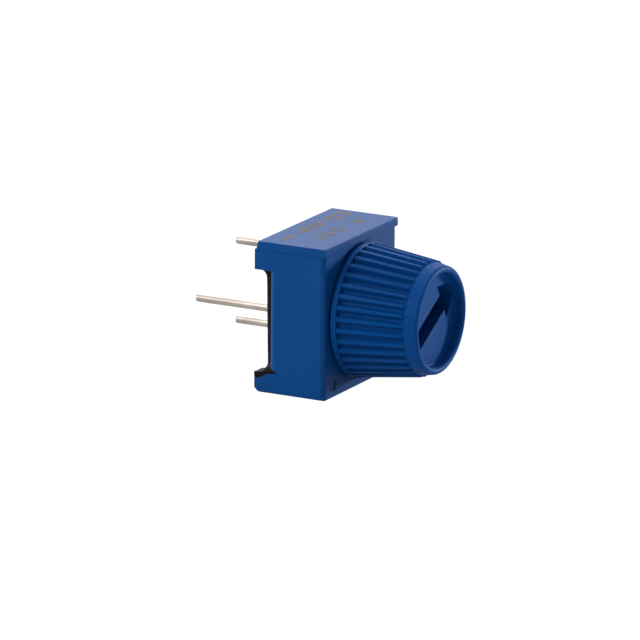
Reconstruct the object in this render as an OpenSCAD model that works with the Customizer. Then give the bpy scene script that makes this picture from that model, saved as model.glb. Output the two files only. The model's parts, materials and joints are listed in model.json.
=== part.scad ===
// Single-turn trimmer potentiometer with a ribbed finger knob, lying on one side of its square body.
// Every piece is drawn as it sits on a circuit board, with the knob upwards and the board's face at
// height zero, and stand() then turns it so that the knob points along -Y and the pins along +Y.

/* [Body] */
// Width and height of the square moulded body
body_size = 9.53; // [9.3:0.01:10]
// Depth of the body, from the board's face to its front face
body_depth = 4.83; // [4.75:0.01:5.6]
// Thickness of the four side walls
wall = 1; // [0.9:0.05:1.1]
// Thickness of the front wall, which the rotor's neck passes through
front_wall = 0.9; // [0.8:0.05:1]
// Radius of the front face's left and right edges
edge_round = 0.32; // [0.1:0.02:0.5]

/* [Lip on the upper side] */
// Height of the lip along the body's upper side
lip_h = 0.54; // [0.3:0.02:0.7]
// How far the lip stands proud of the front face
lip_front = 0.07; // [0.04:0.01:0.12]
// How far the lip stands proud of the left and right faces
lip_side = 0.06; // [0.02:0.01:0.12]
// How far the lip's back stays clear of the board
lip_back = 0.17; // [0.05:0.01:0.4]

/* [Feet] */
// Height of the upper foot, from the body's upper side
foot_upper = 1.815; // [1.3:0.005:2.1]
// Height of the lower foot, from the body's lower side
foot_lower = 1.265; // [1.15:0.005:1.6]
// How far the left and right walls are cut back from the board
notch_depth = 0.99; // [0.9:0.01:1.35]
// Radius of the cut-back walls' outer edge
notch_round = 0.45; // [0.1:0.01:0.55]
// Bevel along the lower foot's outer edge
foot_bevel = 0.32; // [0.15:0.01:0.45]

/* [Moulded mark] */
// Distance of the mark's middle from the body's left face
mark_side = 1.255; // [1:0.005:1.4]
// Distance of the mark's middle from the body's lower side
mark_rise = 0.715; // [0.55:0.005:0.8]
// Height of the mark's upright bar
mark_h = 0.66; // [0.4:0.02:0.8]
// Width of the mark's bars
mark_w = 0.2; // [0.1:0.01:0.25]
// Length of the mark's lower bar
mark_foot = 0.56; // [0.3:0.02:0.7]
// Depth of the mark
mark_depth = 0.08; // [0.04:0.01:0.15]

/* [Ceramic element] */
// Height of the element's printed face above the board
element_z = 2.15; // [2.05:0.01:2.25]
// Thickness of the ceramic plate
substrate_t = 0.64; // [0.5:0.01:0.75]
// Width of the ledge that the plate rests on
ledge = 0.25; // [0.15:0.01:0.35]
// Thickness of the printed films
film_t = 0.04; // [0.03:0.01:0.06]
// Width of the resistive track
track_w = 0.4; // [0.3:0.01:0.45]
// Gap between the resistive track and the hole of the middle pin
track_gap = 0.1; // [0.05:0.01:0.2]
// Angle from the gap's middle to each end of the resistive track
track_angle = 55; // [54:1:60]
// Angle from the gap's middle to each termination's free end
termination_angle = 20; // [14:1:24]
// Gap between the resistive track and the round collector inside it
collector_gap = 0.25; // [0.15:0.01:0.35]
// Radius of the plated hole in the middle of the plate
via_r = 0.35; // [0.25:0.01:0.45]
// Width of the conductors that lead to the pins
lead_w = 0.5; // [0.3:0.05:0.6]
// Width of the ring-shaped pad round each pin
pad_w = 0.3; // [0.28:0.01:0.4]

/* [Terminal pins] */
// Pin grid: the pins stand one grid step from the knob's axis
pin_grid = 2.54; // [2.5:0.01:2.56]
// Diameter of the pins
pin_d = 0.51; // [0.45:0.01:0.55]
// Length of the pins beyond the board's face
pin_length = 5.15; // [3:0.05:6]
// Diameter of the pins' thicker shank inside the resin
shank_d = 0.86; // [0.84:0.01:0.95]
// How far the shank's end lies below the resin's surface
shank_cover = 0.04; // [0.03:0.01:0.12]
// How far the pins' inner ends stop short of the printed face
pin_recess = 0.1; // [0.05:0.01:0.2]
// Radius of the solder fillets where they meet the plate
solder_r = 0.6; // [0.56:0.01:0.66]
// Thickness of the solder at the fillets' thin end
solder_t = 0.04; // [0.02:0.01:0.06]
// Height of the solder fillets
solder_h = 0.34; // [0.2:0.01:0.4]

/* [Resin seal] */
// Height of the resin's surface above the board
resin_z = 0.62; // [0.55:0.01:0.75]
// Radius of the hollow curve where the resin climbs the pocket's walls
meniscus_r = 0.36; // [0.2:0.01:0.37]
// Radius of the hollow curve where the resin climbs the feet
foot_meniscus_r = 0.53; // [0.3:0.01:0.6]
// Gap from the resin's edge to the rounded edge of the cut-back walls
resin_inset = 0.02; // [0.01:0.01:0.1]
// Radius of the resin's rounded outer edge
resin_round = 0.25; // [0.15:0.01:0.28]

/* [Rotor] */
// Radial gap between the rotor's flange and the chamber
flange_gap = 0.14; // [0.1:0.01:0.2]
// Thickness of the rotor's flange
flange_t = 0.9; // [0.7:0.01:0.95]
// Diameter of the rotor's neck in the front wall
neck_d = 3.8; // [3.5:0.05:4]
// Diameter of the stub that carries the knob
stub_d = 3; // [2.6:0.05:3.2]
// Length of the stub in front of the body
stub_h = 2.9; // [2.2:0.05:3.1]
// Depth of the flat on the stub
stub_flat = 0.3; // [0.2:0.01:0.4]
// Diameter of the pin that centres the wiper carrier
hub_d = 1; // [0.8:0.05:1.1]
// Thickness of the sealing ring
ring_d = 0.48; // [0.4:0.01:0.5]
// Whole angle that the rotor can turn
travel = 310; // [300:1:316]
// Width of the housing's stop, as an angle
stop_angle = 25; // [20:1:28]
// How far the housing's stop reaches in from the chamber's wall
stop_reach = 0.42; // [0.3:0.01:0.5]

/* [Wiper] */
// Thickness of the spring metal
spring_t = 0.12; // [0.08:0.01:0.15]
// Length of each arm, with its wires
arm_len = 1.8; // [1.6:0.05:2]
// Distance from the hub to the collector's arm
arm_gap = 0.2; // [0.15:0.01:0.25]
// Width of each arm beyond its outer wires
arm_edge = 0.03; // [0.02:0.01:0.05]
// Gap between each arm and the opening that it was bent out of
window_gap = 0.06; // [0.04:0.01:0.08]
// Length of the contact wires
wire_len = 0.75; // [0.5:0.05:0.9]
// Diameter of the contact wires
wire_d = 0.1; // [0.06:0.01:0.11]
// Distance from wire to wire
wire_pitch = 0.11; // [0.11:0.005:0.12]
// Number of wires on the track
track_wire_count = 4; // [2:1:4]
// Number of wires on the collector
collector_wire_count = 3; // [2:1:4]

/* [Knob] */
// Height of the knob's rim in front of the body
knob_h = 5.6; // [5.2:0.05:6.2]
// Radius of the plain collar next to the body
collar_r = 4.22; // [4.17:0.01:4.4]
// Height of the collar in front of the body
collar_h = 0.5; // [0.35:0.01:0.7]
// Radius of the ribs at the collar
rib_r = 4.15; // [4:0.01:4.17]
// Slope of the ribbed side, in degrees
rib_slope = 7.4; // [5:0.1:9]
// Length of the plain band between the ribs and the rim
band_h = 0.85; // [0.6:0.05:1]
// Number of grooves round the knob
groove_count = 36; // [24:1:40]
// Width of each groove
groove_w = 0.38; // [0.26:0.01:0.42]
// Depth of each groove
groove_depth = 0.2; // [0.12:0.01:0.24]
// How far the grooves stop short of the plain band
groove_end = 0.05; // [0.02:0.01:0.2]
// Step from the ribs in to the plain band
band_step = 0.11; // [0.05:0.01:0.16]
// Radius of the circle that the rounded rim follows
rim_r = 3.14; // [3:0.01:3.15]
// Thickness of the rounded rim
rim_t = 0.45; // [0.4:0.01:0.5]
// Depth of the round recess in the knob's end
recess_depth = 0.65; // [0.5:0.05:0.9]
// Direction of the arrow at rest, from the body's right-hand side
arrow_angle = 30; // [0:1:60]
// Width of the arrow's shaft
shaft_w = 1.2; // [0.8:0.05:1.4]
// Distance from the axis to the arrow's barbs
barb_u = 1.5; // [1.2:0.05:1.7]
// Width of the arrow's head across its barbs
head_w = 2.6; // [2:0.05:2.8]
// Angle of each side of the arrow's head to its shaft
head_angle = 32; // [26:1:38]
// Depth of the arrow-shaped slot below the recess's floor
slot_depth = 1.3; // [0.8:0.05:1.4]
// Thickness of the knob's ribbed shell
shell_t = 0.95; // [0.8:0.05:1.1]
// Thickness of the knob's hub round the stub
hub_wall = 0.7; // [0.5:0.05:0.9]
// Depth of the hollow between the knob's hub and its shell
core_depth = 2.6; // [1.5:0.1:2.9]

/* [Fits] */
// Running gap of the neck in the front wall, on the radius
neck_fit = 0.03; // [0.02:0.005:0.06]
// Running gap between the flange and the front wall
flange_fit = 0.03; // [0.02:0.005:0.06]
// Gap between the knob's back and the lip
knob_fit = 0.06; // [0.04:0.01:0.12]
// Gap of the knob on its stub
stub_fit = 0.01; // [0.005:0.005:0.03]
// Gap round the ceramic plate
plate_fit = 0.04; // [0.02:0.01:0.06]
// Gap between the pins and the plated holes
hole_fit = 0.025; // [0.015:0.005:0.04]
// Gap between the contact wires and the films
wiper_fit = 0.02; // [0.01:0.005:0.04]
// Gap between the sealing ring and what it seals
ring_fit = 0.015; // [0.01:0.005:0.03]
// Free angle left at each end of the rotor's travel
stop_fit = 0.5; // [0.3:0.1:1]

/* [Hidden] */
$fn = 96;
// How far a cutting shape reaches past the surface that it cuts
past = 0.5;
// How far a piece's parts run into each other where they join
joined = 0.1;

half = body_size / 2;
side_half = half - lip_side;
pocket_half = side_half - wall;
substrate_half = pocket_half - plate_fit;
substrate_back = element_z - substrate_t;
film_top = element_z + film_t;
chamber_r = pocket_half - plate_fit;
front_inside = body_depth - front_wall;
notch_top = half - foot_upper;
notch_bottom = half - foot_lower;
ledge_half = pocket_half - ledge;
film_room = 3 * film_t;

pins = [[pin_grid, pin_grid], [-pin_grid, 0], [pin_grid, -pin_grid]];
pin_r = pin_d / 2;
plating_in = pin_r + hole_fit;
hole_r = plating_in + film_t;
pad_r = hole_r + pad_w;
shank_end = resin_z + shank_cover;
track_r = pin_grid - hole_r - track_gap - track_w / 2;
collector_r = track_r - track_w / 2 - collector_gap;

neck_r = neck_d / 2;
stub_r = stub_d / 2;
flange_r = chamber_r - flange_gap;
flange_top = front_inside - flange_fit;
flange_under = flange_top - flange_t;
ring_r = neck_r + ring_fit + ring_d / 2;
ring_seat_r = neck_r + ring_d + 2 * ring_fit;
ring_z = flange_top + ring_d / 2 + ring_fit;
ring_seat_z = flange_top + ring_d + 2 * ring_fit;
stop_in = chamber_r - stop_reach;
plate_r = stop_in - flange_gap;
lug_angle = 360 - travel - stop_angle - 2 * stop_fit;

plate_z = flange_under - spring_t;
contact_z = film_top + wiper_fit + wire_d / 2;
arm_start = plate_z + spring_t / 2;
arm_tilt = asin((arm_start - contact_z) / arm_len);
arm_x = -arm_len * cos(arm_tilt) / 2;
tip_x = -arm_x;
track_arm_y = sqrt(track_r * track_r - tip_x * tip_x);
collector_arm_y = hub_d / 2 + arm_gap + arm_w(collector_wire_count) / 2;
wiper_angle = arrow_angle + 180;

collar_z = body_depth + collar_h;
knob_back = body_depth + lip_front + knob_fit;
knob_end = body_depth + knob_h;
band_z = knob_end - band_h;
slope = tan(rib_slope);
crest_end_r = rib_r - (band_z - collar_z) * slope;
band_r = crest_end_r - band_step;
rim_z = knob_end - rim_t / 2;
recess_r = rim_r - rim_t / 2;
recess_z = knob_end - recess_depth;
socket_r = stub_r + stub_fit;
knob_hub_r = socket_r + hub_wall;

// Turns a piece from knob-up to knob-forward
module stand() rotate([90, 0, 0]) children();

// A flat ring sector, from angle a0 to a1
module sector(r_in, r_out, a0, a1) {
    reach = 2 * r_out;
    steps = 8;
    intersection() {
        difference() {
            circle(r = r_out);
            circle(r = r_in);
        }
        polygon(concat([[0, 0]],
            [for (i = [0:steps]) let (a = a0 + (a1 - a0) * i / steps) reach * [cos(a), sin(a)]]));
    }
}

// A square corner's edge with a round taken off, to be cut away: the corner is at the origin
module round_off(r) difference() {
    translate([-past, -past]) square(r + past);
    translate([r, r]) circle(r = r);
    translate([r, -2 * past]) square(r + 2 * past);
    translate([-2 * past, r]) square(r + 2 * past);
}

// The body's block and the lip along its upper side
module body_block() {
    difference() {
        translate([-side_half, -half, 0]) cube([2 * side_half, body_size - lip_h, body_depth]);
        for (side = [-1, 1]) mirror([side < 0 ? 0 : 1, 0, 0])
            translate([-side_half, half, body_depth]) rotate([90, 0, 0])
                linear_extrude(height = body_size + past) mirror([0, 1]) round_off(edge_round);
        translate([side_half + past, -half, 0]) rotate([0, -90, 0])
            linear_extrude(height = 2 * (side_half + past))
                polygon([[-past, -past], [foot_bevel + past, -past], [-past, foot_bevel + past]]);
    }
    translate([-half, half - lip_h, lip_back]) cube([body_size, lip_h, body_depth + lip_front - lip_back]);
    translate([-side_half, half - lip_h - past, 0]) cube([2 * side_half, past, body_depth]);
}

// What is cut from a side wall between the feet, drawn for the left-hand side
module side_opening() {
    translate([0, notch_top, 0]) rotate([90, 0, 0]) linear_extrude(height = notch_top + notch_bottom) {
        translate([-half - past, -past]) square([half + past - pocket_half, notch_depth + past]);
        translate([-side_half, notch_depth]) round_off(notch_round);
    }
}

// Small L-shaped mark sunk into the front face
module moulded_mark() {
    translate([mark_side - side_half, mark_rise - half, body_depth - mark_depth])
        linear_extrude(height = mark_depth + past) translate([-mark_foot / 2, -mark_h / 2]) {
            square([mark_foot, mark_w]);
            translate([mark_foot - mark_w, 0]) square([mark_w, mark_h]);
        }
}

module housing() color("royalblue") stand() {
    difference() {
        body_block();
        translate([0, 0, front_inside]) cylinder(r = neck_r + neck_fit, h = front_wall + past);
        translate([0, 0, front_inside - past])
            cylinder(r = ring_seat_r, h = ring_seat_z - front_inside + past);
        translate([0, 0, element_z - past]) cylinder(r = chamber_r, h = front_inside - element_z + past);
        translate([-pocket_half, -pocket_half, -past])
            cube([2 * pocket_half, 2 * pocket_half, element_z + past]);
        // Room for the films above the ledge
        translate([-ledge_half, -ledge_half, element_z - past])
            cube([2 * ledge_half, 2 * ledge_half, film_room + past]);
        side_opening();
        mirror([1, 0, 0]) side_opening();
        moulded_mark();
    }
    // Stop for the rotor's lug, opposite the gap in the track
    stop_z = flange_under + flange_fit;
    translate([0, 0, stop_z]) linear_extrude(height = front_inside + joined - stop_z)
        sector(stop_in, chamber_r + joined, 180 - stop_angle / 2, 180 + stop_angle / 2);
}

module ceramic_substrate() color("ivory") stand() difference() {
    translate([-substrate_half, -substrate_half, substrate_back])
        cube([2 * substrate_half, 2 * substrate_half, substrate_t]);
    translate([0, 0, substrate_back - past]) {
        for (p = pins) translate(p) cylinder(r = hole_r, h = substrate_t + 2 * past);
        cylinder(r = via_r, h = substrate_t + 2 * past);
    }
}

module resistive_track() color("dimgray") stand()
    translate([0, 0, element_z]) linear_extrude(height = film_t)
        sector(track_r - track_w / 2, track_r + track_w / 2, track_angle, 360 - track_angle);

module collector_film() color("silver") stand()
    translate([0, 0, element_z]) linear_extrude(height = film_t) difference() {
        circle(r = collector_r);
        circle(r = via_r);
    }

// Metal that lines a hole of the plate, from height z0 to z1
module plating(r, z0, z1) translate([0, 0, z0]) difference() {
    cylinder(r = r, h = z1 - z0);
    translate([0, 0, -past]) cylinder(r = r - film_t, h = z1 - z0 + 2 * past);
}

module back_conductor() color("silver") stand() {
    back = substrate_back - film_t;
    translate([0, 0, back]) linear_extrude(height = film_t) difference() {
        union() {
            translate([-pin_grid, -lead_w / 2]) square([pin_grid, lead_w]);
            translate(pins[1]) circle(r = pad_r);
            circle(r = via_r + pad_w);
        }
        translate(pins[1]) circle(r = plating_in);
        circle(r = via_r - film_t);
    }
    plating(via_r, back, film_top);
    translate(pins[1]) plating(hole_r, back, element_z);
}

// Film from the track's end to a corner pin, on the side that side gives: 1 above, -1 below
module termination(side, pin) {
    a = side > 0 ? [termination_angle, track_angle] : [-track_angle, -termination_angle];
    translate([0, 0, element_z]) linear_extrude(height = film_t) difference() {
        union() {
            sector(track_r - track_w / 2, track_r + track_w / 2, a[0], a[1]);
            rotate(atan2(pin[1], pin[0])) translate([track_r, -lead_w / 2])
                square([norm(pin) - track_r, lead_w]);
            intersection() {
                translate(pin) circle(r = pad_r);
                square(2 * (ledge_half - plate_fit), center = true);
            }
        }
        translate(pin) circle(r = plating_in);
    }
    translate([0, 0, substrate_back - film_t]) linear_extrude(height = film_t)
        translate(pin) difference() {
            circle(r = pad_r);
            circle(r = plating_in);
        }
    translate(pin) plating(hole_r, substrate_back - film_t, film_top);
}

module termination_film_1() color("silver") stand() termination(1, pins[0]);
module termination_film_3() color("silver") stand() termination(-1, pins[2]);

// Round pin with a thicker shank in the resin and a spigot in the plate
module terminal(p) translate(p) {
    translate([0, 0, -pin_length]) cylinder(r = pin_r, h = pin_length + shank_end);
    translate([0, 0, shank_end]) cylinder(r = shank_d / 2, h = substrate_back - film_t - shank_end);
    translate([0, 0, substrate_back - film_t - past])
        cylinder(r = pin_r, h = substrate_t + film_t + past - pin_recess);
}

module terminal_pin_1() color("gainsboro") stand() terminal(pins[0]);
module terminal_pin_2() color("gainsboro") stand() terminal(pins[1]);
module terminal_pin_3() color("gainsboro") stand() terminal(pins[2]);

// Cone of solder between a pin's shank and its pad
module solder_cone(p, fit = 0) translate([p[0], p[1], substrate_back - film_t - solder_h]) difference() {
    cylinder(r1 = shank_d / 2 + solder_t, r2 = solder_r, h = solder_h);
    translate([0, 0, -past]) cylinder(r = shank_d / 2 - fit, h = solder_h + 2 * past);
}

module solder_fillet_1() color("lightsteelblue") stand() solder_cone(pins[0]);
module solder_fillet_2() color("lightsteelblue") stand() solder_cone(pins[1]);
module solder_fillet_3() color("lightsteelblue") stand() solder_cone(pins[2]);

// The resin's hollow curve against a wall: the wall is at zero and the curve runs out along +X
module climb(r) difference() {
    translate([0, resin_z - r]) square([r, r + joined]);
    translate([r, resin_z - r]) circle(r = r);
}

// The same curve drawn out along +X, beside a wall whose free side is towards +Y
module climb_along(length, r) rotate([90, 0, 90]) linear_extrude(height = length) climb(r);

// Outline of the resin from side to side, with rounded outer edges
module resin_width() {
    out = side_half - notch_round - resin_inset;
    translate([-out, resin_z + resin_round]) square([2 * out, substrate_back - resin_z - resin_round]);
    translate([resin_round - out, 0]) square([2 * (out - resin_round), substrate_back]);
    for (x = [-1, 1]) translate([x * (out - resin_round), resin_z + resin_round]) circle(r = resin_round);
}

// Resin between the feet at one side, drawn for the right-hand side
module resin_side() intersection() {
    rotate([90, 0, 0]) translate([0, 0, -half]) linear_extrude(height = body_size) resin_width();
    translate([pocket_half, 0, 0]) {
        translate([-joined, -notch_bottom, resin_z])
            cube([joined + wall, notch_bottom + notch_top, notch_depth - resin_z]);
        translate([0, -notch_bottom, 0]) climb_along(wall, foot_meniscus_r);
        translate([0, notch_top, 0]) mirror([0, 1, 0]) climb_along(wall, foot_meniscus_r);
    }
}

// Resin in the pocket beside one foot, drawn for the right-hand side; foot_y is the foot's inner end
module resin_corner(foot_y) intersection() {
    translate([pocket_half, foot_y, 0]) {
        rotate_extrude() climb(meniscus_r);
        rotate([0, 0, 90]) climb_along(pocket_half - foot_y, meniscus_r);
    }
    cube([pocket_half, pocket_half, body_depth]);
}

module resin_seal() color("black") stand() difference() {
    union() {
        translate([-pocket_half, -pocket_half, resin_z])
            cube([2 * pocket_half, 2 * pocket_half, substrate_back - resin_z]);
        for (y = [0, 1]) mirror([0, y, 0])
            translate([-pocket_half, -pocket_half, 0]) climb_along(2 * pocket_half, meniscus_r);
        for (x = [0, 1]) mirror([x, 0, 0]) {
            resin_side();
            resin_corner(notch_top);
            mirror([0, 1, 0]) resin_corner(notch_bottom);
        }
    }
    for (p = pins) {
        terminal(p);
        solder_cone(p, joined);
        translate([p[0], p[1], substrate_back - film_t]) cylinder(r = pad_r, h = film_t + past);
    }
    translate([0, 0, substrate_back - film_t]) {
        cylinder(r = via_r + pad_w, h = film_t + past);
        translate([-pin_grid, -lead_w / 2, 0]) cube([pin_grid, lead_w, film_t + past]);
    }
}

// The stub's outline, a circle with one flat towards +X
module stub_outline(r) difference() {
    circle(r = r);
    translate([r - stub_flat, -r]) square([stub_flat + past, 2 * r]);
}

module rotor() color("whitesmoke") stand() rotate([0, 0, arrow_angle]) {
    translate([0, 0, flange_under]) {
        cylinder(r = plate_r, h = flange_t);
        linear_extrude(height = flange_t) sector(neck_r, flange_r, -lug_angle / 2, lug_angle / 2);
    }
    translate([0, 0, flange_under]) cylinder(r = neck_r, h = knob_back - flange_under);
    translate([0, 0, flange_under]) linear_extrude(height = body_depth + stub_h - flange_under)
        stub_outline(stub_r);
    translate([0, 0, plate_z]) cylinder(r = hub_d / 2, h = spring_t + past);
}

module o_ring() color("orangered") stand() translate([0, 0, ring_z])
    rotate_extrude() translate([ring_r, 0]) circle(r = ring_d / 2, $fn = 48);

// Width of an arm that carries this many wires
function arm_w(count) = (count - 1) * wire_pitch + wire_d + 2 * arm_edge;

// Spring arm lanced from the carrier, with its far end at tip_x and at the wires' height
module arm_frame(y) translate([arm_x, y, arm_start]) rotate([0, arm_tilt, 0]) children();

module spring_arm(y, count) arm_frame(y)
    translate([0, -arm_w(count) / 2, -spring_t / 2]) cube([arm_len - wire_len, arm_w(count), spring_t]);

module contact_wires(y, count) arm_frame(y)
    for (i = [0:count - 1]) translate([arm_len - wire_len, (i - (count - 1) / 2) * wire_pitch, 0])
        rotate([0, 90, 0]) cylinder(r = wire_d / 2, h = wire_len, $fn = 24);

// Opening in the carrier that an arm was bent out of
module arm_window(y, count) translate([arm_x + 2 * spring_t, y, plate_z - past])
    translate([0, -arm_w(count) / 2 - window_gap, 0])
        cube([arm_len, arm_w(count) + 2 * window_gap, spring_t + 2 * past]);

module on_wiper() stand() rotate([0, 0, wiper_angle - atan2(track_arm_y, tip_x)]) children();

module wiper_carrier() color("goldenrod") on_wiper() {
    difference() {
        translate([0, 0, plate_z]) cylinder(r = plate_r, h = spring_t);
        translate([0, 0, plate_z - past]) cylinder(r = hub_d / 2 + stub_fit, h = spring_t + 2 * past);
        arm_window(track_arm_y, track_wire_count);
        rotate([0, 0, 180]) arm_window(collector_arm_y, collector_wire_count);
    }
    spring_arm(track_arm_y, track_wire_count);
    rotate([0, 0, 180]) spring_arm(collector_arm_y, collector_wire_count);
}

module track_wires() color("gold") on_wiper() contact_wires(track_arm_y, track_wire_count);
module collector_wires() color("gold") on_wiper() rotate([0, 0, 180])
    contact_wires(collector_arm_y, collector_wire_count);

// The knob's section on one side of its axis, without its grooves
module knob_section() {
    polygon([
        [0, knob_back], [collar_r, knob_back], [collar_r, collar_z], [rib_r, collar_z],
        [crest_end_r, band_z], [band_r, band_z], [rim_r + rim_t / 2, rim_z], [recess_r, rim_z],
        [recess_r, recess_z], [0, recess_z]
    ]);
    translate([rim_r, rim_z]) circle(r = rim_t / 2, $fn = 48);
}

// Outline of the arrow, pointing along +X
module arrow_outline() {
    neck = shaft_w / 2;
    barb = head_w / 2;
    tip = barb_u + barb / tan(head_angle);
    intersection() {
        circle(r = recess_r);
        union() {
            translate([-collar_r, -neck]) square([collar_r + barb_u, shaft_w]);
            polygon([[barb_u, -barb], [tip, 0], [barb_u, barb]]);
        }
    }
}

module knob() color("dodgerblue") stand() rotate([0, 0, arrow_angle]) difference() {
    rotate_extrude() knob_section();
    for (i = [0:groove_count - 1]) rotate([0, 0, i * 360 / groove_count])
        translate([rib_r - groove_depth + groove_w / 2, 0, collar_z]) rotate([0, -rib_slope, 0])
            cylinder(r = groove_w / 2, h = (band_z - collar_z) / cos(rib_slope) - groove_end, $fn = 32);
    translate([0, 0, recess_z - slot_depth]) linear_extrude(height = slot_depth + past) arrow_outline();
    translate([0, 0, knob_back - past])
        linear_extrude(height = body_depth + stub_h + stub_fit - knob_back + past)
            offset_stub();
    // Hollow between the hub and the shell
    rotate_extrude() polygon([
        [knob_hub_r, knob_back - past], [collar_r - shell_t, knob_back - past],
        [collar_r - shell_t - core_depth * slope, knob_back + core_depth],
        [knob_hub_r, knob_back + core_depth]
    ]);
}

// The socket's outline: the stub's, with the fit added
module offset_stub() difference() {
    circle(r = socket_r);
    translate([stub_r - stub_flat + stub_fit, -socket_r - past])
        square([stub_flat + past, 2 * (socket_r + past)]);
}

housing();
ceramic_substrate();
resistive_track();
collector_film();
back_conductor();
termination_film_1();
termination_film_3();
terminal_pin_1();
terminal_pin_2();
terminal_pin_3();
solder_fillet_1();
solder_fillet_2();
solder_fillet_3();
resin_seal();
rotor();
knob();
o_ring();
wiper_carrier();
track_wires();
collector_wires();
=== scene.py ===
import json
import math

import bmesh
import bpy
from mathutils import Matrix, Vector, noise


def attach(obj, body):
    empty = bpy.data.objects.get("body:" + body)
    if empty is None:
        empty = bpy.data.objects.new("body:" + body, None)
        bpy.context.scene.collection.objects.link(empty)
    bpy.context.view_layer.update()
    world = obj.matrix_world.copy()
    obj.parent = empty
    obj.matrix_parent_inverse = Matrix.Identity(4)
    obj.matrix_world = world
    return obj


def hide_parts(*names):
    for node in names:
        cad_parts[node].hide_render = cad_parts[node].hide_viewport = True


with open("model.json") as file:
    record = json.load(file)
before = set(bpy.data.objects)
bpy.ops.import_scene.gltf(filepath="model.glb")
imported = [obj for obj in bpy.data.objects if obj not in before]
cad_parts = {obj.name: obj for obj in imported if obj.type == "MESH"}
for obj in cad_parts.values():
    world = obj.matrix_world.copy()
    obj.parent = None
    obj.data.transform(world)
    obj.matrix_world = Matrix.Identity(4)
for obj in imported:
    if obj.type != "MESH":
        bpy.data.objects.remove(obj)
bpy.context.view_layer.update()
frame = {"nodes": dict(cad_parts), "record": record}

# Lengths are in mm, unless a comment says otherwise. A piece is drawn as it sits on a circuit board:
# x to the right, y upwards as the part lies, h from the board's face towards the knob. at() turns that
# into the scene's metres.
MM = 0.001

# Housing: half of its width, its depth, and the lip along its upper side
HALF = 4.765
DEPTH = 4.83
LIP_H = 0.54
LIP_FRONT = 0.07
LIP_SIDE = 0.06
LIP_BACK_LOW = 0.13
LIP_BACK_TOP = 0.27
LIP_ROUND = 0.05
SIDE = HALF - LIP_SIDE
POCKET = SIDE - 1.0

# The openings in the side walls, from the lower feet to the upper ones
NOTCH_TOP = 2.95
NOTCH_LOW = 3.5
NOTCH_DEPTH = 0.99
NOTCH_ROUND = 0.45

# The housing's edges
FRONT_ROUND = 0.32
FOOT_BEVEL = 0.32
LOWER_ROUND = 0.17
FRONT_LOWER_ROUND = 0.03
SMALL_ROUND = 0.05

# The sunk mark near the front face's lower left corner
MARK_RIGHT, MARK_BOTTOM = -3.17, -4.38
MARK_W, MARK_H = 0.56, 0.66
MARK_LINE = 0.2
MARK_DEPTH = 0.08

# The housing's inside: heights of its floors, radii of its bores, and its stop, which spans so many degrees
ELEMENT_H = 2.15
FRONT_INSIDE = 3.93
CHAMBER_R = 3.665
RING_R, RING_H = 2.41, 4.41
NECK_R = 1.93
STOP_R, STOP_H, STOP_ANGLE = 3.245, 3.03, 25

# How far joined shapes run into each other
JOIN = 0.02
STOP_JOIN = 0.1

# How far cutters run past what they cut: outwards, at an edge's round, from bore to bore, into the
# pocket and over a foot's root. The back edges' rounds end inside the lip, this far below its top.
PAST = 1.0
EDGE_PAST = 0.3
BORE_PAST = 0.5
POCKET_PAST = 0.2
FOOT_PAST = 0.1
BACK_ROUND_END = 0.3

# Resin: its level, how far it falls from the lower feet upwards, and how high it climbs at its edges
RESIN = 0.62
RESIN_TILT = 0.018
RESIN_OUT = 4.235
RESIN_ROUND = 0.25
RESIN_DROP_RUN = 0.45
POCKET_CLIMB = 0.36
UPPER_CLIMB = 0.6
FOOT_CLIMB = 0.58
PIN_CLIMB, PIN_CLIMB_SHARE = 0.3, 0.6
RESIN_STEP = 0.07

# Pins: the centre of each, the far end, the end inside, and the thick shank in the resin
PINS = {"terminal_pin_1": (2.54, 2.54), "terminal_pin_2": (-2.54, 0.0), "terminal_pin_3": (2.54, -2.54)}
PIN_R = 0.255
PIN_END = -5.15
PIN_TOP = 2.05
SHANK_R = 0.43
SHANK_TOP = 1.43

# Knob: heights are from the housing's front face
KNOB_BACK = 0.13
SOCKET_R, SOCKET_T = 1.51, 2.91
HUB_R = 2.21
HOLLOW = 2.6
HOLLOW_R, HOLLOW_MOUTH_R = 2.93, 3.26
COLLAR_R, COLLAR_T = 4.22, 0.5
COLLAR_BACK_ROUND, COLLAR_FACE_ROUND = 0.06, 0.05
CREST_R = 4.15
CREST_SLOPE = math.tan(math.radians(7.4))
BAND_T, BAND_STEP = 4.75, 0.11
RIM_R, RIM_HALF, RIM_T = 3.14, 0.225, 5.375
FLOOR_T, FLOOR_ROUND = 4.95, 0.1
WALL_DRAFT = 0.012

# Grooves: how many, half of one's width and its depth
GROOVES = 36
GROOVE_HALF = 0.19
GROOVE_DEPTH = 0.33
# Where one groove's columns stand, in half-widths from its middle, and those of the crest beside it
GROOVE_STEPS = (0.0, 0.3, 0.55, 0.75, 0.88, 0.97, 1.06, 1.15, 1.3)
CREST_STEPS = (0.35, 0.7)
# The columns are spaced by the knob's radius, held between these two
NARROW_R, WIDE_R = 3.35, 4.15
# How the grooves end at the band: height from its start, share of its step, share of their depth
RUN_OUT = ((-0.13, 0.018, 0.97), (-0.09, 0.073, 0.9), (-0.05, 0.227, 0.78), (-0.02, 0.5, 0.6),
           (0.01, 0.82, 0.3), (0.04, 0.97, 0.08))

# The arrow-shaped slot: its turn and depth, the shaft's half width, the head's barbs and its lean.
# The turn and the lean are in radians.
ARROW = math.radians(30)
SLOT = 1.75
ARROW_END_R = 2.9
SHAFT_HALF = 0.6
BARB_U, BARB_V = 1.5, 1.3
HEAD_LEAN = math.radians(32)
SLOT_EDGE_ROUND = 0.055
# The slot's bottom corner: height above the bottom and how far the outline is drawn in there
SLOT_CORNER = ((0.0, -0.07), (0.015, -0.035), (0.06, -0.012))

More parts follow.
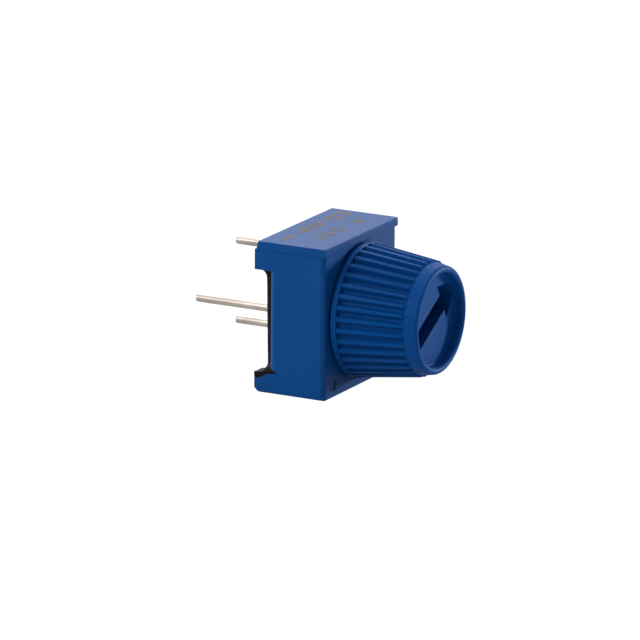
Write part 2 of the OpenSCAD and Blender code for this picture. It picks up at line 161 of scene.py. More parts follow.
# Printed marks: thickness of the ink, how deep it starts, widths of the lines, heights of the rows
INK = 0.006
INK_SUNK = 0.002
LINE, FINE_LINE = 0.27, 0.22
FIRST_ROW, SECOND_ROW = 1.5, 3.2


def at(x, y, h):
    return Vector((x, -h, y)) * MM


def along_y(u, v, w):
    return at(u, w, v)


def along_x(u, v, w):
    return at(w, u, v)


# Materials

# The noise is used between these two values, where nearly all of it lies
NOISE_LOW, NOISE_HIGH = 0.3, 0.7


def nodes_of(name):
    m = bpy.data.materials.new(name)
    m.use_nodes = True
    return m, m.node_tree.nodes, m.node_tree.links


def noise_node(n, l, coord, scale, detail, rough, squash):
    t = n.new("ShaderNodeTexNoise")
    t.inputs["Scale"].default_value = scale
    t.inputs["Detail"].default_value = detail
    t.inputs["Roughness"].default_value = rough
    if squash:
        s = n.new("ShaderNodeVectorMath")
        s.operation = "MULTIPLY"
        s.inputs[1].default_value = squash
        l.new(coord, s.inputs[0])
        coord = s.outputs[0]
    l.new(coord, t.inputs["Vector"])
    return t.outputs["Fac"]


def colour_range(n, l, fac, dark, light):
    r = n.new("ShaderNodeValToRGB")
    for stop, position, colour in zip(r.color_ramp.elements, (NOISE_LOW, NOISE_HIGH), (dark, light)):
        stop.position = position
        stop.color = (*colour, 1)
    l.new(fac, r.inputs[0])
    return r.outputs[0]


def value_range(n, l, fac, low, high):
    r = n.new("ShaderNodeMapRange")
    r.inputs["From Min"].default_value = NOISE_LOW
    r.inputs["From Max"].default_value = NOISE_HIGH
    r.inputs["To Min"].default_value = low
    r.inputs["To Max"].default_value = high
    l.new(fac, r.inputs["Value"])
    return r.outputs[0]


def surface(name, dark, light, rough, metal=0.0, ior=1.45, cloud=300, grain=9000, bump=0.25,
            depth=0.01, squash=None):
    """A procedural surface: colour drifts between dark and light, roughness and height follow noise."""
    m, n, l = nodes_of(name)
    p = n["Principled BSDF"]
    co = n.new("ShaderNodeTexCoord").outputs["Object"]
    soft = noise_node(n, l, co, cloud, 4, 0.6, squash)
    fine = noise_node(n, l, co, grain, 2, 0.5, squash)
    l.new(colour_range(n, l, soft, dark, light), p.inputs["Base Color"])
    l.new(value_range(n, l, fine, *rough), p.inputs["Roughness"])
    p.inputs["Metallic"].default_value = metal
    p.inputs["IOR"].default_value = ior
    b = n.new("ShaderNodeBump")
    b.inputs["Strength"].default_value = bump
    b.inputs["Distance"].default_value = depth * MM
    l.new(fine, b.inputs["Height"])
    l.new(b.outputs[0], p.inputs["Normal"])
    return m


MAT = {
    "blue_body": surface("moulded_blue", (0.0004, 0.053, 0.208), (0.0008, 0.061, 0.236), (0.38, 0.48),
                         ior=1.18, cloud=260, grain=14000, bump=0.2, depth=0.012),
    "blue_knob": surface("knob_blue", (0.0004, 0.054, 0.222), (0.0008, 0.062, 0.250), (0.42, 0.52),
                         ior=1.14, cloud=300, grain=14000, bump=0.2, depth=0.012),
    "black_resin": surface("cast_resin", (0.0035, 0.003, 0.005), (0.009, 0.008, 0.011), (0.34, 0.52),
                           ior=1.13, cloud=900, grain=2500, bump=0.35, depth=0.02),
    "tinned_pin": surface("tinned_wire", (0.24, 0.19, 0.16), (0.50, 0.47, 0.43), (0.30, 0.5), metal=1.0,
                          cloud=1700, grain=9000, bump=0.4, depth=0.01, squash=(1, 0.12, 1)),
    "solder": surface("solder", (0.50, 0.51, 0.53), (0.68, 0.69, 0.70), (0.25, 0.45), metal=1.0,
                      cloud=2500, grain=8000, bump=0.4, depth=0.01),
    "ceramic": surface("alumina", (0.78, 0.76, 0.70), (0.88, 0.86, 0.82), (0.45, 0.65),
                       cloud=900, grain=16000, bump=0.4, depth=0.006),
    "resistive_ink": surface("resistive_film", (0.010, 0.010, 0.012), (0.03, 0.03, 0.034), (0.35, 0.55),
                             cloud=3000, grain=20000, bump=0.4, depth=0.005),
    "conductor_film": surface("fired_silver", (0.52, 0.50, 0.46), (0.72, 0.70, 0.66), (0.35, 0.6),
                              metal=1.0, cloud=2500, grain=18000, bump=0.4, depth=0.004),
    "white_plastic": surface("rotor_plastic", (0.72, 0.72, 0.69), (0.80, 0.80, 0.78), (0.35, 0.5),
                             cloud=500, grain=14000, bump=0.25, depth=0.008),
    "seal_rubber": surface("seal_rubber", (0.26, 0.035, 0.014), (0.36, 0.05, 0.02), (0.5, 0.7),
                           cloud=1200, grain=9000, bump=0.3, depth=0.008),
    "spring_metal": surface("rolled_spring", (0.55, 0.40, 0.19), (0.68, 0.52, 0.28), (0.22, 0.4),
                            metal=1.0, cloud=900, grain=9000, bump=0.3, depth=0.003, squash=(0.1, 1, 1)),
    "contact_wire": surface("contact_wire", (0.74, 0.60, 0.34), (0.86, 0.74, 0.48), (0.15, 0.3),
                            metal=1.0, cloud=4000, grain=20000, bump=0.2, depth=0.002),
    "print": surface("print_ink", (0.030, 0.028, 0.030), (0.085, 0.066, 0.058), (0.4, 0.6), ior=1.24,
                     cloud=2600, grain=16000, bump=0.4, depth=0.006),
}


# Shapes

def shade(o, angle):
    """Smooth shading that keeps edges sharper than the angle in degrees."""
    me = o.data
    me.polygons.foreach_set("use_smooth", [True] * len(me.polygons))
    me.set_sharp_from_angle(angle=math.radians(angle))


def new_object(name, bm, slot, smooth_angle=35):
    """Makes the mesh of bm an object with the slot's material and clean shading."""
    bmesh.ops.recalc_face_normals(bm, faces=bm.faces)
    me = bpy.data.meshes.new(name)
    bm.to_mesh(me)
    bm.free()
    o = bpy.data.objects.new(name, me)
    bpy.context.scene.collection.objects.link(o)
    me.materials.append(MAT[slot])
    shade(o, smooth_angle)
    return o


def apply_modifiers(o):
    dg = bpy.context.evaluated_depsgraph_get()
    me = bpy.data.meshes.new_from_object(o.evaluated_get(dg), preserve_all_data_layers=True, depsgraph=dg)
    old = o.data
    o.modifiers.clear()
    o.data = me
    me.name = o.name
    bpy.data.meshes.remove(old)


def weighted(o):
    """Keeps flat faces flat beside narrow rounded edges."""
    w = o.modifiers.new("weighted", "WEIGHTED_NORMAL")
    w.keep_sharp = True
    w.weight = 60
    apply_modifiers(o)


def boolean(o, other_bm, operation="DIFFERENCE"):
    """Cuts the closed meshes of other_bm out of o, or joins them to it."""
    bmesh.ops.recalc_face_normals(other_bm, faces=other_bm.faces)
    me = bpy.data.meshes.new("other")
    other_bm.to_mesh(me)
    other_bm.free()
    other = bpy.data.objects.new("other", me)
    bpy.context.scene.collection.objects.link(other)
    b = o.modifiers.new("cut", "BOOLEAN")
    b.object = other
    b.operation = operation
    b.solver = "EXACT"
    b.use_self = True
    apply_modifiers(o)
    bpy.data.objects.remove(other)
    bpy.data.meshes.remove(me)


def skin(bm, rings):
    """Joins rings of as many corners each, one after the other, with quads."""
    for a, b in zip(rings, rings[1:]):
        for i in range(len(a)):
            j = (i + 1) % len(a)
            bm.faces.new((a[i], a[j], b[j], b[i]))


def prism(bm, outline, low, high, place):
    """A straight prism over a flat outline; place(u, v, w) gives a corner's position."""
    ends = [[bm.verts.new(place(u, v, w)) for u, v in outline] for w in (low, high)]
    bm.faces.new(ends[0][::-1])
    bm.faces.new(ends[1])
    skin(bm, ends)


def quarter(steps):
    """Angles of a quarter turn, in radians."""
    return [math.radians(90 * i / steps) for i in range(steps + 1)]


def disc(r, count=96, start=0.0, end=360.0):
    """Points on a circle from one angle in degrees up to the other, without the last."""
    angles = [math.radians(start + (end - start) * i / count) for i in range(count)]
    return [(r * math.cos(a), r * math.sin(a)) for a in angles]


def round_off(u, v, du, dv, r):
    """Outline that takes a round of radius r off the corner (u, v); du and dv point out of the solid."""
    arc = [(u - du * r * (1 - math.sin(a)), v - dv * r * (1 - math.cos(a))) for a in quarter(5)]
    beyond_u, beyond_v = u + du * EDGE_PAST, v + dv * EDGE_PAST
    return [(beyond_u, beyond_v), (arc[0][0], beyond_v)] + arc + [(beyond_u, arc[-1][1])]


def lathe(bm, rows, count, centre):
    """A turned closed shape from (h, r) rows that start and end on the axis."""
    cx, cy = centre
    rings = []
    for h, r in rows:
        points = disc(r, count) if r else [(0.0, 0.0)]
        rings.append([bm.verts.new(at(cx + x, cy + y, h)) for x, y in points])
    for a, b in zip(rings, rings[1:]):
        for i in range(count):
            j = (i + 1) % count
            quad = [a[i % len(a)], a[j % len(a)], b[j % len(b)], b[i % len(b)]]
            bm.faces.new(list(dict.fromkeys(quad)))


def smoothstep(a, b, x):
    t = min(1.0, max(0.0, (x - a) / (b - a)))
    return t * t * (3 - 2 * t)


# Housing

def housing_block():
    """The box without its lip, its two upright front edges rounded."""
    bm = bmesh.new()
    front = [(-SIDE, 0), (SIDE, 0)]
    for side in (1, -1):
        arc = [(side * (SIDE - FRONT_ROUND * (1 - math.cos(a))), DEPTH - FRONT_ROUND * (1 - math.sin(a)))
               for a in quarter(8)]
        front += arc if side > 0 else arc[::-1]
    prism(bm, front, -HALF, HALF - LIP_H + JOIN, along_y)
    return new_object("housing_shell", bm, "blue_body")


def housing_lip():
    """The lip along the upper side, with a slanted back and rounded edges."""
    bm = bmesh.new()
    low, front = HALF - LIP_H, DEPTH + LIP_FRONT
    outline = ((low, LIP_BACK_LOW), (HALF, LIP_BACK_TOP), (HALF, front), (low, front))
    prism(bm, outline, -HALF, HALF, along_x)
    bmesh.ops.recalc_face_normals(bm, faces=bm.faces)
    bmesh.ops.bevel(bm, geom=bm.edges[:], offset=LIP_ROUND * MM, segments=3, profile=0.5, affect="EDGES")
    return bm


def housing_openings():
    """Everything that is hollow: the pocket, the bores, the side openings and the sunk mark."""
    bm = bmesh.new()
    square = ((-POCKET, -POCKET), (POCKET, -POCKET), (POCKET, POCKET), (-POCKET, POCKET))
    prism(bm, square, -PAST, ELEMENT_H, at)
    prism(bm, disc(CHAMBER_R), ELEMENT_H - BORE_PAST, FRONT_INSIDE, at)
    prism(bm, disc(RING_R), FRONT_INSIDE - BORE_PAST, RING_H, at)
    prism(bm, disc(NECK_R), RING_H - BORE_PAST, DEPTH + PAST, at)
    for side in (-1, 1):
        # The side opening between the feet, with the wall's outer edge rounded over
        rounded = [(side * (SIDE - NOTCH_ROUND * (1 - math.cos(a))),
                    NOTCH_DEPTH + NOTCH_ROUND * (1 - math.sin(a))) for a in quarter(9)]
        inner, outer = side * (POCKET - POCKET_PAST), side * (HALF + PAST)
        outline = [(inner, -PAST), (outer, -PAST), (outer, rounded[0][1])] + rounded
        outline.append((inner, NOTCH_DEPTH))
        prism(bm, outline, -NOTCH_LOW, NOTCH_TOP, along_y)
    left, top = MARK_RIGHT - MARK_W, MARK_BOTTOM + MARK_H
    bar, foot = MARK_RIGHT - MARK_LINE, MARK_BOTTOM + MARK_LINE
    mark = ((left, MARK_BOTTOM), (MARK_RIGHT, MARK_BOTTOM), (MARK_RIGHT, top), (bar, top), (bar, foot),
            (left, foot))
    prism(bm, mark, DEPTH - MARK_DEPTH, DEPTH + PAST, at)
    return bm


def housing_edges():
    """What the bevel and the rounds of the outer edges take away."""
    bm = bmesh.new()
    bevel = FOOT_BEVEL + EDGE_PAST
    low, high = -HALF - PAST, HALF + PAST
    prism(bm, ((low, -PAST), (-HALF + bevel, -EDGE_PAST), (-HALF - EDGE_PAST, bevel)), low, high, along_x)
    inside_lip = HALF - BACK_ROUND_END
    foot_top = NOTCH_DEPTH + FOOT_PAST
    for side in (-1, 1):
        s = SIDE * side
        # Long lower edges, the feet's outer corners and the feet's inner corners
        prism(bm, round_off(s, -HALF, side, -1, LOWER_ROUND), -PAST, DEPTH + PAST, at)
        prism(bm, round_off(s, 0, side, -1, SMALL_ROUND), low, inside_lip, along_y)
        prism(bm, round_off(s, -NOTCH_LOW, side, 1, SMALL_ROUND), -PAST, foot_top, at)
        prism(bm, round_off(s, NOTCH_TOP, side, -1, SMALL_ROUND), -PAST, foot_top, at)
    prism(bm, round_off(-HALF, DEPTH, -1, 1, FRONT_LOWER_ROUND), low, high, along_x)
    prism(bm, round_off(HALF - LIP_H + JOIN, 0, 1, -1, SMALL_ROUND), low, high, along_x)
    return bm


def housing_stop():
    """The stop inside for the rotor's lug."""
    bm = bmesh.new()
    first, last = 180 - STOP_ANGLE / 2, 180 + STOP_ANGLE / 2
    sector = disc(CHAMBER_R + STOP_JOIN, 12, first, last) + disc(STOP_R, 12, last, first)
    prism(bm, sector, STOP_H, FRONT_INSIDE + STOP_JOIN, at)
    return bm


def make_housing():
    o = housing_block()
    boolean(o, housing_lip(), "UNION")
    boolean(o, housing_openings())
    boolean(o, housing_edges())
    boolean(o, housing_stop(), "UNION")
    shade(o, 30)
    weighted(o)
    return o


# Knob

def groove_section(u):
    """Depth of a groove, as a share, at u half-widths from its middle: a round bottom and soft edges."""
    if u < 0.92:
        return math.sqrt(1 - 0.9 * u ** 3)
    return 0.547 * (1 - smoothstep(0.92, 1.3, u))


def crest(t):
    """Radius of the ribs' crests at height t."""
    return CREST_R - (t - COLLAR_T) * CREST_SLOPE


def knob_inside():
    """(height, radius) rows of the socket, the hub and the hollow round it, from the axis outwards."""
    soft = 0.04
    bottom = KNOB_BACK + HOLLOW
    return [(SOCKET_T, SOCKET_R - 0.05), (SOCKET_T - 0.05, SOCKET_R), (KNOB_BACK, SOCKET_R),
            (KNOB_BACK, HUB_R - soft), (KNOB_BACK + soft, HUB_R), (bottom, HUB_R), (bottom, HOLLOW_R),
            (KNOB_BACK + soft, HOLLOW_MOUTH_R), (KNOB_BACK, HOLLOW_MOUTH_R + soft)]


def knob_collar():
    """(height, radius) rows of the collar with its two rounded edges."""
    b, f = COLLAR_BACK_ROUND, COLLAR_FACE_ROUND
    half_way = 1 - math.sqrt(0.5)
    return [(KNOB_BACK, COLLAR_R - b), (KNOB_BACK + b * half_way, COLLAR_R - b * half_way),
            (KNOB_BACK + b, COLLAR_R), (COLLAR_T - f, COLLAR_R),
            (COLLAR_T - f * half_way, COLLAR_R - f * half_way), (COLLAR_T, COLLAR_R - f)]


def knob_front():
    """(height, radius) rows of the band, the rounded rim, the recess's wall and its round foot."""
    band_r, outer, wall = crest(BAND_T) - BAND_STEP, RIM_R + RIM_HALF, RIM_R - RIM_HALF
    rows = [(BAND_T + dt, band_r + (outer - band_r) * dt / (RIM_T - BAND_T)) for dt in (0.07, 0.35, 0.57)]
    for i in range(17):
        a = math.radians(180 * i / 16)
        rows.append((RIM_T + RIM_HALF * math.sin(a), RIM_R + RIM_HALF * math.cos(a)))
    foot_r, foot_t = wall - WALL_DRAFT, FLOOR_T + FLOOR_ROUND
    rows += [(RIM_T - 0.175, wall - WALL_DRAFT / 2), (foot_t, foot_r)]
    rows += [(foot_t - FLOOR_ROUND * math.sin(a), foot_r - FLOOR_ROUND * (1 - math.cos(a)))
             for a in quarter(4)[1:]]
    return rows


def knob_rows():
    """Rows of (height, radius of the crests, share of the grooves' depth)."""
    rows = [(t, r, 0.0) for t, r in knob_inside() + knob_collar()]
    rows += [(COLLAR_T + dt, crest(COLLAR_T + dt), share)
             for dt, share in ((0.002, 0.0), (0.008, 0.93), (0.05, 1.0))]
    rows += [(t, crest(t), 1.0) for t in (1.2, 1.8, 2.4, 3.0, 3.6, 4.2, 4.56)]
    rows += [(BAND_T + dt, crest(BAND_T + min(dt, 0.0)) - BAND_STEP * fall, share)
             for dt, fall, share in RUN_OUT]
    return rows + [(t, r, 0.0) for t, r in knob_front()]


def pitch_columns(r):
    """(angle, share of the grooves' depth) of one pitch's columns, bound to the groove's edges."""
    half_pitch = math.pi / GROOVES
    side = [(u * GROOVE_HALF / r, groove_section(u)) for u in GROOVE_STEPS]
    edge = side[-1][0]
    side += [(edge + (half_pitch - edge) * c, 0.0) for c in CREST_STEPS]
    return [(-a, d) for a, d in side[:0:-1]] + side + [(half_pitch, 0.0)]


def make_knob():
    bm = bmesh.new()
    rings = []
    for t, r, share in knob_rows():
        columns = pitch_columns(max(NARROW_R, min(WIDE_R, r)))
        ring = []
        for g in range(GROOVES):
            for a, d in columns:
                q = ARROW + 2 * math.pi * g / GROOVES + a
                radius = r - share * GROOVE_DEPTH * d
                ring.append(bm.verts.new(at(radius * math.cos(q), radius * math.sin(q), DEPTH + t)))
        rings.append(ring)
    bm.faces.new(rings[0])
    bm.faces.new(rings[-1])
    skin(bm, rings)
    o = new_object("knob_shell", bm, "blue_knob")
    boolean(o, arrow_cutter())
    shade(o, 38)
    weighted(o)
    return o


def arrow_outline(grow):
    """The arrow's outline widened by grow, its two ends on a circle just inside the recess's wall."""
    nu, nv = math.sin(HEAD_LEAN), math.cos(HEAD_LEAN)
    half = SHAFT_HALF + grow
    back = BARB_U - grow
    reach = nu * BARB_U + nv * BARB_V + grow
    barb = (reach - nu * back) / nv
    # Half the angle of the head's end on the circle, and half the angle of the shaft's
    head = math.atan2(nv, nu) - math.acos(reach / ARROW_END_R)
    tail = math.asin(half / ARROW_END_R)
    points = [(ARROW_END_R * math.cos(q), ARROW_END_R * math.sin(q))
              for q in [-head + 2 * head * i / 12 for i in range(13)]]
    points += [(back, barb), (back, half)]
    points += [(-ARROW_END_R * math.cos(q), ARROW_END_R * math.sin(q))
               for q in [tail - 2 * tail * i / 10 for i in range(11)]]
    return points + [(back, -half), (back, -barb)]


def arrow_cutter():
    bm = bmesh.new()
    soft = SLOT_EDGE_ROUND
    levels = [(-SLOT + z, grow) for z, grow in SLOT_CORNER] + [(-soft, 0.0)]
    for q in (25, 50, 70, 82):
        a = math.radians(q)
        levels.append((soft * (math.sin(a) - 1), soft * (1 - math.cos(a))))
    levels.append((0.4, levels[-1][1]))
    ca, sa = math.cos(ARROW), math.sin(ARROW)
    rings = [[bm.verts.new(at(u * ca - v * sa, u * sa + v * ca, DEPTH + FLOOR_T + z))
              for u, v in arrow_outline(grow)] for z, grow in levels]
    bm.faces.new(rings[0][::-1])
    bm.faces.new(rings[-1])
    skin(bm, rings)
    return bm


# Resin

def grid_lines(*stops):
    """Grid lines that hit every stop, about RESIN_STEP apart between them."""
    out = [stops[0]]
    for a, b in zip(stops, stops[1:]):
        count = max(1, round((b - a) / RESIN_STEP))
        out += [a + (b - a) * (i + 1) / count for i in range(count)]
    return out


def segment_distance(x, y, a, b):
    ax, ay = a
    dx, dy = b[0] - ax, b[1] - ay
    t = max(0.0, min(1.0, ((x - ax) * dx + (y - ay) * dy) / (dx * dx + dy * dy)))
    return math.hypot(x - ax - t * dx, y - ay - t * dy)


def fillet(d, r):
    """Rise of a hollow curve of radius r at distance d from its wall."""
    return 0.0 if d >= r else r - math.sqrt(max(0.0, r * r - (r - d) ** 2))


def resin_walls():
    """The walls round the resin as (end, end, height that it climbs there)."""
    p, o, top, low = POCKET, RESIN_OUT, NOTCH_TOP, -NOTCH_LOW
    walls = [((-p, p), (p, p), POCKET_CLIMB), ((-p, -p), (p, -p), POCKET_CLIMB)]
    for s in (-1, 1):
        walls += [((s * o, top), (s * p, top), UPPER_CLIMB), ((s * p, top), (s * p, p), POCKET_CLIMB),
                  ((s * o, low), (s * p, low), FOOT_CLIMB), ((s * p, low), (s * p, -p), POCKET_CLIMB)]
    return walls


def resin_height(x, y, walls):
    climb = max(fillet(segment_distance(x, y, a, b), r) for a, b, r in walls)
    for px, py in PINS.values():
        gap = max(0.0, math.hypot(x - px, y - py) - PIN_R)
        climb = max(climb, PIN_CLIMB_SHARE * fillet(gap, PIN_CLIMB))
    from_foot = min(NOTCH_TOP - y, y + NOTCH_LOW)
    drop = fillet(RESIN_OUT - abs(x), RESIN_ROUND) * smoothstep(0.0, RESIN_DROP_RUN, from_foot)
    wave = 0.012 * noise.noise(Vector((x * 0.9, y * 0.9, 3.1)))
    wave += 0.004 * noise.noise(Vector((x * 4, y * 4, 7)))
    return RESIN - RESIN_TILT * (y + NOTCH_LOW) - climb + drop + wave


def resin_tail(bm, side):
    """Resin that fills the corner between the lower foot and the side wall, out to the side face."""
    wall = SIDE - NOTCH_ROUND
    first, last = RESIN_OUT - 0.15, SIDE - 0.012
    # Places across the side wall, and how far the surface is drawn in there to round the end
    columns = [(first + (last - first) * k / 9, 0.0) for k in range(10)]
    columns += [(SIDE + 0.004, 0.008), (SIDE + 0.013, 0.03)]
    # Distances from the foot, as they are where the resin reaches furthest
    rows = [-0.03, 0.0, 0.012, 0.03, 0.055, 0.085] + [0.12 + 0.05 * k for k in range(17)]
    top, low = [], []
    for x, inset in columns:
        # The wall's rounded edge, which the resin follows
        out = min(1.0, max(0.0, (x - wall) / NOTCH_ROUND))
        deep = NOTCH_DEPTH + NOTCH_ROUND * (1 - math.sqrt(1 - out * out))
        run = rows[-1] - 0.75 * out
        top.append([])
        low.append([])
        for row in rows:
            d = row * run / rows[-1]
            level = RESIN + (deep + 0.02 - RESIN) * smoothstep(0.05, run, d)
            h = level - fillet(max(d, 0.0), FOOT_CLIMB * (1 - 0.2 * out)) + inset
            under = d + 0.1 * out * max(0.0, 0.5 - d)
            top[-1].append(bm.verts.new(at(side * x, d - NOTCH_LOW, h)))
            low[-1].append(bm.verts.new(at(side * x, under - NOTCH_LOW, deep + 0.06)))
    for i in range(len(columns) - 1):
        for j in range(len(rows) - 1):
            bm.faces.new((top[i][j], top[i + 1][j], top[i + 1][j + 1], top[i][j + 1]))
            bm.faces.new((low[i][j + 1], low[i + 1][j + 1], low[i + 1][j], low[i][j]))
        bm.faces.new((low[i][0], low[i + 1][0], top[i + 1][0], top[i][0]))
        bm.faces.new((top[i][-1], top[i + 1][-1], low[i + 1][-1], low[i][-1]))
    for j in range(len(rows) - 1):
        bm.faces.new((top[0][j], top[0][j + 1], low[0][j + 1], low[0][j]))
        bm.faces.new((low[-1][j], low[-1][j + 1], top[-1][j + 1], top[-1][j]))


def resin_smear(bm):
    """A smear of resin over the edge of the lower left foot, as (h, distance from the edge)."""
    smear = ((0.02, -0.26), (0.1, -0.33), (0.2, -0.36), (0.36, -0.33), (0.5, -0.25), (0.66, -0.14),
             (0.84, -0.05), (1.0, 0.0), (1.05, 0.05), (0.02, 0.05))
    prism(bm, [(d - NOTCH_LOW, h) for h, d in smear], -SIDE - 0.011, -SIDE + 0.04, along_x)


def resin_fill():
    """The resin in the pocket and in the side openings, its surface a grid of heights."""
    bm = bmesh.new()
    xs = grid_lines(-RESIN_OUT, -POCKET, POCKET, RESIN_OUT)
    ys = grid_lines(-POCKET, -NOTCH_LOW, NOTCH_TOP, POCKET)
    walls = resin_walls()
    cells = set()
    for i in range(len(xs) - 1):
        for j in range(len(ys) - 1):
            x, y = (xs[i] + xs[i + 1]) / 2, (ys[j] + ys[j + 1]) / 2
            if abs(x) < POCKET or -NOTCH_LOW < y < NOTCH_TOP:
                cells.add((i, j))
    top, low = {}, {}

    def corner(store, key, h):
        if key not in store:
            store[key] = bm.verts.new(at(xs[key[0]], ys[key[1]], h))
        return store[key]

    for i, j in cells:
        quad = [(i, j), (i + 1, j), (i + 1, j + 1), (i, j + 1)]
        bm.faces.new([corner(top, key, resin_height(xs[key[0]], ys[key[1]], walls)) for key in quad])
        bm.faces.new([corner(low, key, NOTCH_DEPTH) for key in quad][::-1])
    for i, j in cells:
        for di, dj, p, q in ((-1, 0, (i, j), (i, j + 1)), (1, 0, (i + 1, j), (i + 1, j + 1)),
                             (0, -1, (i, j), (i + 1, j)), (0, 1, (i, j + 1), (i + 1, j + 1))):
            if (i + di, j + dj) not in cells:
                bm.faces.new((top[p], top[q], low[q], low[p]))
    return bm


def make_resin():
    o = new_object("resin_fill", resin_fill(), "black_resin", 50)
    crept = bmesh.new()
    for side in (-1, 1):
        resin_tail(crept, side)
    resin_smear(crept)
    boolean(o, crept, "UNION")
    shade(o, 50)
    return o


# Pins

def make_pin(name, centre):
    bm = bmesh.new()
    # The rounded far end, the slightly uneven wire, the shank in the resin and the end in the plate
    rows = [(PIN_END, 0), (PIN_END, PIN_R - 0.05), (PIN_END + 0.01, PIN_R - 0.022),
            (PIN_END + 0.04, PIN_R - 0.004), (PIN_END + 0.08, PIN_R)]
    rows += [(PIN_END + 0.5 * k, PIN_R - 0.003 * (k % 2)) for k in range(1, 12)]
    shank = RESIN + 0.04
    rows += [(shank, PIN_R), (shank, SHANK_R - 0.03), (shank + 0.03, SHANK_R), (SHANK_TOP - 0.02, SHANK_R),
             (SHANK_TOP, SHANK_R - 0.02), (SHANK_TOP, PIN_R)]
    rows += [(PIN_TOP - 0.03, PIN_R), (PIN_TOP, PIN_R - 0.03), (PIN_TOP, 0)]
    lathe(bm, rows, 40, centre)
    return new_object(name + "_wire", bm, "tinned_pin", 40)


# Print

def stroke(points, width, closed=False):
    """Outline of a line of one width through the points, with mitred corners; a closed line gives two."""
    pts = [Vector(q) for q in points]
    count = len(pts)
    left, right = [], []
    for i, q in enumerate(pts):
        ahead = (pts[(i + 1) % count] - q).normalized() if closed or i < count - 1 else None
        back = (q - pts[i - 1]).normalized() if closed or i > 0 else None
        ahead, back = ahead or back, back or ahead
        mean = (ahead + back).normalized()
        side = Vector((-mean.y, mean.x)) * (width / 2 / mean.dot(ahead))
        left.append(tuple(q + side))
        right.append(tuple(q - side))
    return (left, right) if closed else left + right[::-1]


def ink(bm, outline):
    prism(bm, outline, HALF - INK_SUNK, HALF + INK, along_y)


def ink_ring(bm, points, width):
    """A printed closed line, made as a band with a hole in it."""
    inner, outer = stroke(points, width, closed=True)
    low, high = HALF - INK_SUNK, HALF + INK
    levels = [[bm.verts.new(at(u, h, v)) for u, v in ring]
              for ring, h in ((inner, low), (outer, low), (outer, high), (inner, high))]
    skin(bm, levels + levels[:1])


def make_print():
    """The general symbols for a variable resistor, then strokes, a ring and a pointer."""
    bm = bmesh.new()
    h = FIRST_ROW
    start, neck, tip, half, barb = -4.0, -3.15, -2.45, 0.11, 0.42
    ink(bm, ((start, h - half), (neck, h - half), (neck, h - barb), (tip, h), (neck, h + barb),
             (neck, h + half), (start, h + half)))
    zigzag = [(-1.75, h), (-1.45, h)]
    zigzag += [(-1.2 + 0.45 * k, h + 0.4 * (-1) ** k) for k in range(6)]
    zigzag += [(1.3, h), (1.6, h)]
    ink(bm, stroke(zigzag, LINE))
    ink_ring(bm, ((2.1, h - 0.3), (4.1, h - 0.3), (4.1, h + 0.4), (2.1, h + 0.4)), LINE)
    h = SECOND_ROW
    for k in range(3):
        left, right = -2.35 + 0.62 * k, -2.05 + 0.62 * k
        ink(bm, ((left, h - 0.45), (right, h - 0.45), (right, h + 0.45), (left, h + 0.45)))
    ink_ring(bm, [(0.15 + x, h + y) for x, y in disc(0.42, 24)], FINE_LINE)
    ink(bm, ((1.95, h - 0.2), (3.1, h - 0.2), (2.5, h + 0.65)))
    return new_object("print_marks", bm, "print", 30)


# Build

housing = make_housing()
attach(housing, "stator")
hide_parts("housing")

knob = make_knob()
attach(knob, "turning_part")
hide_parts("knob")

resin = make_resin()
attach(resin, "stator")
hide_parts("resin_seal")

for pin_name, pin_centre in PINS.items():
    pin = make_pin(pin_name, pin_centre)
    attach(pin, "stator")
    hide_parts(pin_name)

marks = make_print()
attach(marks, "stator")

# The solids that stay as they are packed get their slot's material
SLOTS = {s["node"]: s["material_slot"] for s in frame["record"]["subparts"]}
for node, obj in frame["nodes"].items():
    for s in obj.material_slots:
        s.material = MAT[SLOTS[node]]


# Stage

def any_ray(n, l, kinds):
    """One where a ray of any of the named kinds arrives."""
    path = n.new("ShaderNodeLightPath")
    out = path.outputs[kinds[0]]
    for kind in kinds[1:]:
        m = n.new("ShaderNodeMath")
        m.operation = "MAXIMUM"
        l.new(out, m.inputs[0])
        l.new(path.outputs[kind], m.inputs[1])
        out = m.outputs[0]
    return out


def floor_material():
    """A pale floor that shows mostly plain white to the camera and to reflections, with its shadow."""
    m, n, l = nodes_of("pale_floor")
    n.remove(n["Principled BSDF"])
    plain = n.new("ShaderNodeBsdfDiffuse")
    plain.inputs["Color"].default_value = (0.75, 0.75, 0.75, 1)
    shader = plain.outputs[0]
    # The kinds of ray, the share of plain white that each sees and how bright that white is
    for kinds, share, white in ((("Is Glossy Ray", "Is Transmission Ray"), 0.4, 0.8),
                                (("Is Camera Ray",), 0.9, 1.09)):
        glow = n.new("ShaderNodeEmission")
        glow.inputs["Strength"].default_value = white
        faint = n.new("ShaderNodeMixShader")
        faint.inputs[0].default_value = share
        l.new(plain.outputs[0], faint.inputs[1])
        l.new(glow.outputs[0], faint.inputs[2])
        pick = n.new("ShaderNodeMixShader")
        l.new(any_ray(n, l, kinds), pick.inputs[0])
        l.new(shader, pick.inputs[1])
        l.new(faint.outputs[0], pick.inputs[2])
        shader = pick.outputs[0]
    l.new(shader, n["Material Output"].inputs["Surface"])
    return m


def make_floor():
    bm = bmesh.new()
    # Half the floor's width in metres, and a hair's gap under the part
    half, under = 3.0, 2e-6
    for x, y in ((-1, -1), (1, -1), (1, 1), (-1, 1)):
        bm.verts.new((x * half, y * half, -HALF * MM - under))
    bm.faces.new(bm.verts[:])
    me = bpy.data.meshes.new("floor")
    bm.to_mesh(me)
    bm.free()
    me.materials.append(floor_material())
    o = bpy.data.objects.new("floor", me)
    bpy.context.scene.collection.objects.link(o)


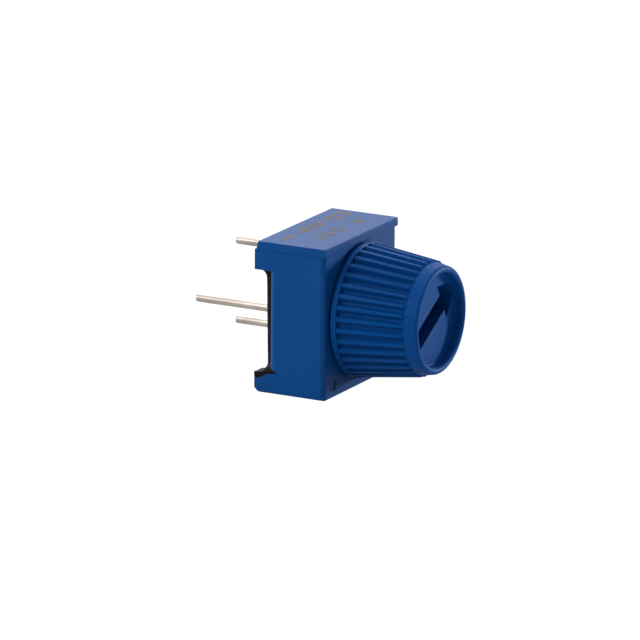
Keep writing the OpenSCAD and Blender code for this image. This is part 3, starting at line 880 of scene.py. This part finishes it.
def make_world():
    """Soft even light, seen as plain white by the camera and in reflections."""
    w = bpy.data.worlds.new("studio")
    bpy.context.scene.world = w
    w.use_nodes = True
    n, l = w.node_tree.nodes, w.node_tree.links
    seen = n["Background"]
    soft = n.new("ShaderNodeBackground")
    for light, strength in ((seen, 1.0), (soft, 0.17)):
        light.inputs["Color"].default_value = (1, 1, 1, 1)
        light.inputs["Strength"].default_value = strength
    pick = n.new("ShaderNodeMixShader")
    l.new(any_ray(n, l, ("Is Camera Ray", "Is Glossy Ray", "Is Transmission Ray")), pick.inputs[0])
    l.new(soft.outputs[0], pick.inputs[1])
    l.new(seen.outputs[0], pick.inputs[2])
    l.new(pick.outputs[0], n["World Output"].inputs["Surface"])


def make_lamp(name, location, size, power):
    """A round lamp aimed at the part; the location and size are in metres and the power in watts."""
    lamp = bpy.data.lights.new(name, "AREA")
    lamp.shape = "DISK"
    lamp.size = size
    lamp.energy = power
    o = bpy.data.objects.new(name, lamp)
    bpy.context.scene.collection.objects.link(o)
    o.location = location
    o.rotation_euler = (-Vector(location)).to_track_quat("-Z", "Y").to_euler()


def make_camera():
    """The photograph's camera, fitted to the corners of the part."""
    cam = bpy.data.cameras.new("camera")
    cam.lens = 412.11
    cam.sensor_width = 36
    cam.clip_start = 0.01
    cam.clip_end = 20
    o = bpy.data.objects.new("camera", cam)
    bpy.context.scene.collection.objects.link(o)
    o.location = Vector((-383.0923, -206.2377, 114.9398)) * MM
    o.rotation_euler = [math.radians(a) for a in (75.0376, -0.4029, -61.8333)]
    bpy.context.scene.camera = o


make_floor()
make_world()
make_lamp("left", (-0.42, 0.16, 0.38), 0.3, 1.4)
make_lamp("right_behind", (0.35, 0.28, 0.35), 0.4, 1.5)
make_lamp("above", (0.02, 0.02, 0.55), 0.4, 1.05)
make_lamp("behind", (-0.14, 0.52, 0.12), 0.4, 2.1)
make_lamp("right_front", (0.48, -0.33, 0.06), 0.09, 2.6)
make_camera()
bpy.context.scene.view_settings.view_transform = "Standard"
